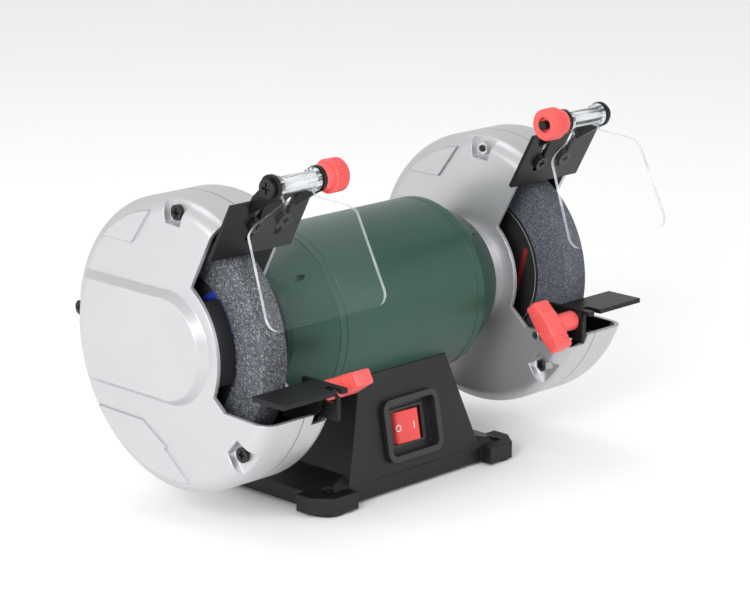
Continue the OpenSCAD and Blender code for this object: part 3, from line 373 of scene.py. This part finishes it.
def labelFinish(name, look):
    # printed paper washer: fibre grain, a thin ring near its rim and one plain printed field; on the blue washer
    # the near-black paper is painted shade and the field keeps its blue only where light falls
    material, tree, shader = newFinish(name)
    point = objectPoint(tree)
    apart = addNode(tree, "ShaderNodeSeparateXYZ")
    tree.links.new(point, apart.inputs[0])
    across = apart.outputs["Y"]
    up = mathNode(tree, "SUBTRACT", apart.outputs["Z"], spindleHeight)
    radius = reach(tree, across, up, (0.0, 0.0))
    fibre = mathNode(tree, "MULTIPLY", noiseValue(tree, point, 900.0), 0.4)
    color = mixColors(tree, fibre, look["paper"], tuple(2.2 * c for c in look["paper"]))
    for low, high, tone in look["rings"]:
        color = mixColors(tree, between(tree, radius, low, high), color, tone)
    angle = math.radians(look["turn"])
    along = mathNode(tree, "ADD", mathNode(tree, "MULTIPLY", across, math.cos(angle)),
                     mathNode(tree, "MULTIPLY", up, math.sin(angle)))
    beside = mathNode(tree, "SUBTRACT", mathNode(tree, "MULTIPLY", up, math.cos(angle)),
                      mathNode(tree, "MULTIPLY", across, math.sin(angle)))
    field = mathNode(tree, "MULTIPLY", between(tree, beside, look["barLow"], look["barHigh"]),
                     between(tree, along, look["barFrom"], look["barTo"]))
    color = mixColors(tree, field, color, look["print"])
    tree.links.new(color, shader.inputs["Base Color"])
    rough = mathNode(tree, "MULTIPLY_ADD", noiseValue(tree, point, 600.0), 0.2, 0.5)
    tree.links.new(rough, shader.inputs["Roughness"])
    softEdges(tree, shader, noiseValue(tree, point, 1100.0), 0.15, 0.0003, 0.0)
    return material


spindleHeight = joints["rotor_spin"]["pos_m"][2]
for name, look in labelLooks.items():
    finishes[name] = labelFinish(name, look)

clearLooks = {
    "clearSheet": {"color": (0.60, 0.64, 0.66), "streak": (0.54, 0.58, 0.61), "alpha": 0.016, "rough": 0.10,
                   "stretch": (35.0, 35.0, 35.0), "bump": 0.0},
    # clearEdge: a grey rim with lighter streaks, a painted highlight along the sheet's edges
    "clearEdge": {"color": (0.50, 0.54, 0.57), "streak": (0.74, 0.78, 0.81), "alpha": 0.55, "rough": 0.12,
                  "stretch": (90.0, 90.0, 90.0), "bump": 0.05},
    # clearBarrel: near white with dark streaks along its axis, painted reflections like chrome
    "clearBarrel": {"color": (0.86, 0.88, 0.90), "streak": (0.05, 0.055, 0.06), "alpha": 0.62, "rough": 0.08,
                    "stretch": (25.0, 420.0, 420.0), "bump": 0.08},
}


def clearFinish(name, look):
    # moulded clear plastic, with streaks in its tint and its gloss: moulding lines on the sheet, a painted
    # highlight on the rim and painted reflections along the barrel
    material, tree, shader = newFinish(name)
    stretch = addNode(tree, "ShaderNodeMapping")
    setSocket(stretch, "Scale", look["stretch"])
    tree.links.new(objectPoint(tree), stretch.inputs["Vector"])
    streaks = noiseValue(tree, stretch.outputs[0], 1.0, 2.0)
    steep = addNode(tree, "ShaderNodeMapRange", interpolation_type="SMOOTHSTEP")
    setSocket(steep, "From Min", 0.42)
    setSocket(steep, "From Max", 0.62)
    tree.links.new(streaks, steep.inputs["Value"])
    tree.links.new(mixColors(tree, steep.outputs[0], look["color"], look["streak"]),
                   shader.inputs["Base Color"])
    rough = mathNode(tree, "MULTIPLY_ADD", streaks, 0.04, look["rough"])
    tree.links.new(rough, shader.inputs["Roughness"])
    setSocket(shader, "Alpha", look["alpha"])
    setSocket(shader, "IOR", 1.52)
    softEdges(tree, shader, streaks, look["bump"], 0.0005, 0.0)
    return material


for name, look in clearLooks.items():
    finishes[name] = clearFinish(name, look)

floorMaterial, floorTree, floorShader = newFinish("paleFloor")
floorGrain = noiseValue(floorTree, objectPoint(floorTree), 6.0)
floorTree.links.new(mixColors(floorTree, floorGrain, (0.97, 0.97, 0.97), (0.99, 0.99, 0.99)),
                    floorShader.inputs["Base Color"])
setSocket(floorShader, "Roughness", 0.7)
studioFloor.data.materials.append(floorMaterial)
print("finishes ready:", len(finishes))

# every carried-over node gets its finish

slotFinish = {
    "base_paint": "baseBlack", "motor_paint": "motorGreen", "guard_paint": "guardSilver",
    "black_steel": "blackSteel", "black_screw": "blackScrew", "zinc_steel": "zincSteel",
    "shaft_steel": "groundSteel", "bearing_steel": "groundSteel", "flange_steel": "flangeSteel",
    "core_steel": "coreSteel", "winding_copper": "windingCopper", "coarse_grit": "coarseGrit",
    "fine_grit": "fineGrit", "blue_paper": "blueLabel", "black_paper": "blackLabel",
    "clear_plastic": "clearSheet", "red_plastic": "knobRed", "rocker_plastic": "rockerRed",
    "black_plastic": "switchBlack", "white_plastic": "capacitorWhite", "cream_plastic": "terminalCream",
    "foot_rubber": "footRubber",
}
for part in frame["record"]["subparts"]:
    thing = nodes[part["node"]]
    finish = finishes[slotFinish[part["material_slot"]]]
    if not thing.material_slots:
        thing.data.materials.append(finish)
    for place in thing.material_slots:
        place.material = finish
print("nodes finished")

# turned, knurled and folded pieces

mm = 0.001
sheetFinishes = ("clearSheet", "clearEdge", "clearBarrel")
sides = {"left": -1, "right": 1}


def pickPoints(piece, test):
    # edit mode with only the points that pass the test selected
    bpy.ops.object.mode_set(mode="EDIT")
    bpy.ops.mesh.select_mode(type="VERT")
    bpy.ops.mesh.select_all(action="DESELECT")
    bpy.ops.object.mode_set(mode="OBJECT")
    for vertex in piece.data.vertices:
        vertex.select = test(vertex.co)
    bpy.ops.object.mode_set(mode="EDIT")


def finishPiece(piece, finishNames, body, node=None, angle=35.0):
    bpy.ops.object.mode_set(mode="EDIT")
    bpy.ops.mesh.select_all(action="SELECT")
    bpy.ops.mesh.remove_doubles(threshold=0.000001)
    bpy.ops.mesh.normals_make_consistent(inside=False)
    bpy.ops.object.mode_set(mode="OBJECT")
    bpy.ops.object.transform_apply(location=True, rotation=True, scale=True)
    bpy.ops.object.shade_smooth_by_angle(angle=math.radians(angle))
    for finishName in finishNames:
        piece.data.materials.append(finishes[finishName])
    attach(piece, body)
    if node:
        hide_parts(node)


def turnedPiece(name, start, rings, steps, along=1):
    # one ring about an X axis, drawn along and scaled from profile point to profile point
    bpy.ops.object.select_all(action="DESELECT")
    place = start[0] + along * rings[0][0] * mm
    bpy.ops.mesh.primitive_circle_add(vertices=steps, radius=rings[0][1] * mm, rotation=(0, math.pi / 2, 0),
                                      location=(place, start[1], start[2]))
    piece = bpy.context.object
    piece.name = name
    bpy.ops.object.transform_apply(location=True, rotation=True, scale=True)
    bpy.ops.object.mode_set(mode="EDIT")
    bpy.ops.mesh.select_all(action="SELECT")
    for before, after in zip(rings, rings[1:]):
        step = along * (after[0] - before[0]) * mm
        place += step
        grow = after[1] / before[1]
        bpy.ops.mesh.extrude_region_move(TRANSFORM_OT_translate={"value": (step, 0, 0)})
        bpy.ops.transform.resize(value=(1, grow, grow), center_override=(place, start[1], start[2]))
    bpy.ops.object.mode_set(mode="OBJECT")
    return piece


wheelShape = {
    "profile": ((0, 10.02), (0, 73.6), (0.35, 74.5), (1.1, 75), (18.9, 75), (19.65, 74.5), (20, 73.6),
                (20, 10.02), (0, 10.02)),
    "steps": 192,
}
for side, sign in sides.items():
    low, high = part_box(side + "_wheel")
    near = low[0] if sign > 0 else high[0]
    wheel = turnedPiece(side + "GrindingWheel", (near, 0.0, spindleHeight), wheelShape["profile"],
                        wheelShape["steps"], sign)
    grit = "coarse" if side == "left" else "fine"
    finishPiece(wheel, [grit + "Grit"], "rotor", side + "_wheel")
print("wheels turned")

shieldKnob = {
    "profile": ((2.5, 3.15), (2.5, 4.6), (0.5, 4.9), (0.1, 5.4), (0.1, 9.2), (1.3, 10.3), (10.4, 10.45),
                (11, 9.7), (11, 8.3), (16.6, 8.1), (16.95, 7.7), (16.95, 3.15), (2.5, 3.15)),
    "steps": 180, "groove": 0.945, "gripFrom": 10.2,
}


def knurl(piece, center, shape):
    def inGroove(point):
        across, up = point.y - center[0], point.z - center[1]
        turn = round(math.atan2(up, across) / (2 * math.pi / shape["steps"]))
        return turn % 4 == 0 and math.hypot(across, up) > shape["gripFrom"] * mm

    pickPoints(piece, inGroove)
    bpy.ops.transform.resize(value=(1, shape["groove"], shape["groove"]),
                             center_override=(0, center[0], center[1]))
    bpy.ops.object.mode_set(mode="OBJECT")


for side, sign in sides.items():
    low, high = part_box(side + "_shield_knob")
    center = ((low[1] + high[1]) / 2, (low[2] + high[2]) / 2)
    near = low[0] if sign > 0 else high[0]
    knob = turnedPiece(side + "ShieldKnobVisual", (near, *center), shieldKnob["profile"],
                       shieldKnob["steps"], sign)
    knurl(knob, center, shieldKnob)
    finishPiece(knob, ["knobRed"], side + "_knob", side + "_shield_knob")
print("shield knobs turned")

wingKnob = {
    "bar": (14.0, 34.8, 9.4), "middle": 13.0 / 9.4, "round": 1.7, "grooves": (9.6, 11.7, 13.8),
    "grooveHalf": 0.5, "grooveDepth": (0.965, 0.92), "bolt": (-90.0, 93.5),
    "hub": ((13, 6.2), (29, 6.45), (29, 3.2), (13, 3.2), (13, 6.2)), "turns": {"left": -28.0, "right": 49.0},
}
for side, sign in sides.items():
    low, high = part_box(side + "_rest_knob")
    near = low[0] if sign > 0 else high[0]
    middle = near + sign * wingKnob["bar"][0] / 2 * mm
    bpy.ops.object.select_all(action="DESELECT")
    bpy.ops.mesh.primitive_cube_add(size=1, location=(middle, 0, 0))
    bar = bpy.context.object
    bar.scale = [length * mm for length in wingKnob["bar"]]
    bpy.ops.object.transform_apply(location=True, rotation=True, scale=True)
    pickPoints(bar, lambda point: True)
    bpy.ops.mesh.bisect(plane_co=(middle, 0, 0), plane_no=(0, 1, 0))
    pickPoints(bar, lambda point: abs(point.y) < 0.0001)
    bpy.ops.transform.resize(value=(1, 1, wingKnob["middle"]), center_override=(middle, 0, 0))
    bpy.ops.object.mode_set(mode="OBJECT")
    rounding = bar.modifiers.new("rounding", "BEVEL")
    rounding.width = wingKnob["round"] * mm
    rounding.segments = 4
    rounding.angle_limit = math.radians(40)
    bpy.ops.object.modifier_apply(modifier="rounding")
    for groove in [value * way for value in wingKnob["grooves"] for way in (-1, 1)]:
        for offset in (-wingKnob["grooveHalf"], 0.0, wingKnob["grooveHalf"]):
            pickPoints(bar, lambda point: True)
            bpy.ops.mesh.bisect(plane_co=(middle, (groove + offset) * mm, 0), plane_no=(0, 1, 0))
        pickPoints(bar, lambda point: abs(point.y - groove * mm) < 0.00005)
        deep = wingKnob["grooveDepth"]
        bpy.ops.transform.resize(value=(deep[0], 1, deep[1]), center_override=(middle, 0, 0))
    bpy.ops.object.mode_set(mode="OBJECT")
    hub = turnedPiece(side + "WingHub", (near, 0, 0), wingKnob["hub"], 64, sign)
    bar.select_set(True)
    bpy.context.view_layer.objects.active = bar
    bpy.ops.object.join()
    bar.name = side + "WingKnobVisual"
    bar.rotation_euler = (math.radians(wingKnob["turns"][side]), 0, 0)
    bar.location = (0, wingKnob["bolt"][0] * mm, wingKnob["bolt"][1] * mm)
    finishPiece(bar, ["knobRed"], side + "_clamp", side + "_rest_knob")
print("wing knobs shaped")

eyeShield = {
    "middle": 127.0, "drop": (-10.0, -19.5), "paneTurn": 247.6, "paneSize": (97.0, 60.0), "bendWidth": 87.0,
    "neckWidth": 25.0, "neckAt": 0.46, "neckEnd": 0.16, "aside": 3.0, "thick": 2.2, "corner": 9.0,
    "bendRound": 3.5,
    "axis": {"left": (-82.110, 221.878), "right": (-84.511, 226.264)},
    "barrel": ((0, 3.4), (0, 7.0), (0.5, 7.45), (2.5, 7.45), (3, 7.0), (3.1, 5.5), (8, 5.5), (8.5, 5.1),
               (9, 5.5), (24, 5.5), (24.5, 5.1), (25, 5.5), (29.9, 5.5), (30, 7.0), (30.5, 7.45),
               (32.5, 7.45), (33, 7.0), (33, 3.4), (0, 3.4)),
    "barrelFrom": 110.5, "steps": 64, "barrelFinish": 2,
}


def shieldSheet(name, axis, sign):
    # the pane is a plane; its upper edge is drawn on to the bend, the neck and the barrel
    shape = eyeShield
    drop = Vector((0, shape["drop"][0], shape["drop"][1])) * mm
    turn = math.radians(shape["paneTurn"])
    paneWay = Vector((0, math.cos(turn), math.sin(turn)))
    bend = Vector((sign * shape["middle"] * mm, axis[0] * mm, axis[1] * mm)) + drop
    aside = Vector((sign * shape["aside"] * mm, 0, 0))
    middle = bend + paneWay * shape["paneSize"][1] / 2 * mm + aside
    bpy.ops.object.select_all(action="DESELECT")
    bpy.ops.mesh.primitive_plane_add(size=1, location=middle, rotation=(turn - math.pi, 0, 0))
    sheet = bpy.context.object
    sheet.name = name
    sheet.scale = (shape["paneSize"][0] * mm, shape["paneSize"][1] * mm, 1)
    bpy.ops.object.transform_apply(location=True, rotation=True, scale=True)
    pickPoints(sheet, lambda point: point.z > middle.z)
    taper = shape["bendWidth"] / shape["paneSize"][0]
    bpy.ops.transform.resize(value=(taper, 1, 1), center_override=bend + aside)
    toNeck = -drop * (1 - shape["neckAt"])
    bpy.ops.mesh.extrude_region_move(TRANSFORM_OT_translate={"value": toNeck - aside})
    narrow = shape["neckWidth"] / shape["bendWidth"]
    bpy.ops.transform.resize(value=(narrow, 1, 1), center_override=bend + toNeck)
    toBarrel = -drop * (shape["neckAt"] - shape["neckEnd"])
    bpy.ops.mesh.extrude_region_move(TRANSFORM_OT_translate={"value": toBarrel})
    foot = (bend + paneWay * shape["paneSize"][1] * mm).z
    pickPoints(sheet, lambda point: abs(point.z - foot) < 0.0002)
    bpy.ops.mesh.bevel(offset=shape["corner"] * mm, segments=8, affect="VERTICES")
    pickPoints(sheet, lambda point: abs(point.z - bend.z) < 0.0002)
    bpy.ops.mesh.bevel(offset=shape["bendRound"] * mm, segments=5, affect="EDGES")
    bpy.ops.object.mode_set(mode="OBJECT")
    for finishName in sheetFinishes:
        sheet.data.materials.append(finishes[finishName])
    wall = sheet.modifiers.new("wall", "SOLIDIFY")
    wall.thickness = shape["thick"] * mm
    wall.offset = 0.0
    wall.material_offset_rim = 1
    bpy.ops.object.modifier_apply(modifier="wall")
    return sheet


for side, sign in sides.items():
    axis = eyeShield["axis"][side]
    sheet = shieldSheet(side + "ShieldSheet", axis, sign)
    start = (sign * eyeShield["barrelFrom"] * mm, axis[0] * mm, axis[1] * mm)
    barrel = turnedPiece(side + "ShieldBarrel", start, eyeShield["barrel"], eyeShield["steps"], sign)
    for finishName in sheetFinishes:
        barrel.data.materials.append(finishes[finishName])
    for polygon in barrel.data.polygons:
        polygon.material_index = eyeShield["barrelFinish"]
    sheet.select_set(True)
    bpy.context.view_layer.objects.active = sheet
    bpy.ops.object.join()
    sheet.name = side + "EyeShieldVisual"
    finishPiece(sheet, [], side + "_shield", side + "_eye_shield")
print("eye shields folded")

rockerMarks = {"offAt": -9.2, "onAt": 3.5, "ringRadius": 2.0, "line": 0.36, "strokeLength": 4.4, "flat": 1.0,
               "lift": 0.2, "outside": 30.0, "lean": 10.32}


def markOnRocker(name, offset, ring):
    # a thin printed mark laid on the rocker's face where a line from outside meets it
    rocker = nodes["switch_rocker"]
    low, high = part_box("switch_rocker")
    middle = Vector([(first + second) / 2 for first, second in zip(low, high)])
    lean = math.radians(rockerMarks["lean"])
    out = Vector((0, -math.cos(lean), math.sin(lean)))
    bpy.context.view_layer.update()
    toLocal = rocker.matrix_world.inverted()
    start = middle + Vector((offset * mm, 0, 0)) + out * rockerMarks["outside"] * mm
    found, spot, normal, index = rocker.ray_cast(toLocal @ start, toLocal.to_3x3() @ -out)
    spot = rocker.matrix_world @ spot
    normal = (rocker.matrix_world.to_3x3() @ normal).normalized()
    bpy.ops.object.select_all(action="DESELECT")
    if ring:
        bpy.ops.mesh.primitive_torus_add(major_radius=rockerMarks["ringRadius"] * mm, major_segments=48,
                                         minor_radius=rockerMarks["line"] * mm, minor_segments=8)
    else:
        bpy.ops.mesh.primitive_uv_sphere_add(radius=rockerMarks["line"] * mm, segments=12, ring_count=8)
    mark = bpy.context.object
    mark.name = name
    if not ring:
        pickPoints(mark, lambda point: point.y > 0.00002)
        bpy.ops.transform.translate(value=(0, rockerMarks["strokeLength"] * mm / 2, 0))
        pickPoints(mark, lambda point: point.y < -0.00002)
        bpy.ops.transform.translate(value=(0, -rockerMarks["strokeLength"] * mm / 2, 0))
        bpy.ops.object.mode_set(mode="OBJECT")
    mark.scale = (1, 1, rockerMarks["flat"])
    across = Vector((1, 0, 0))
    mark.rotation_euler = Matrix((across, normal.cross(across), normal)).transposed().to_euler()
    mark.location = spot + normal * rockerMarks["lift"] * mm
    finishPiece(mark, ["markWhite"], "rocker")


markOnRocker("rockerOffMark", rockerMarks["offAt"], True)
markOnRocker("rockerOnMark", rockerMarks["onAt"], False)
print("rocker marked")
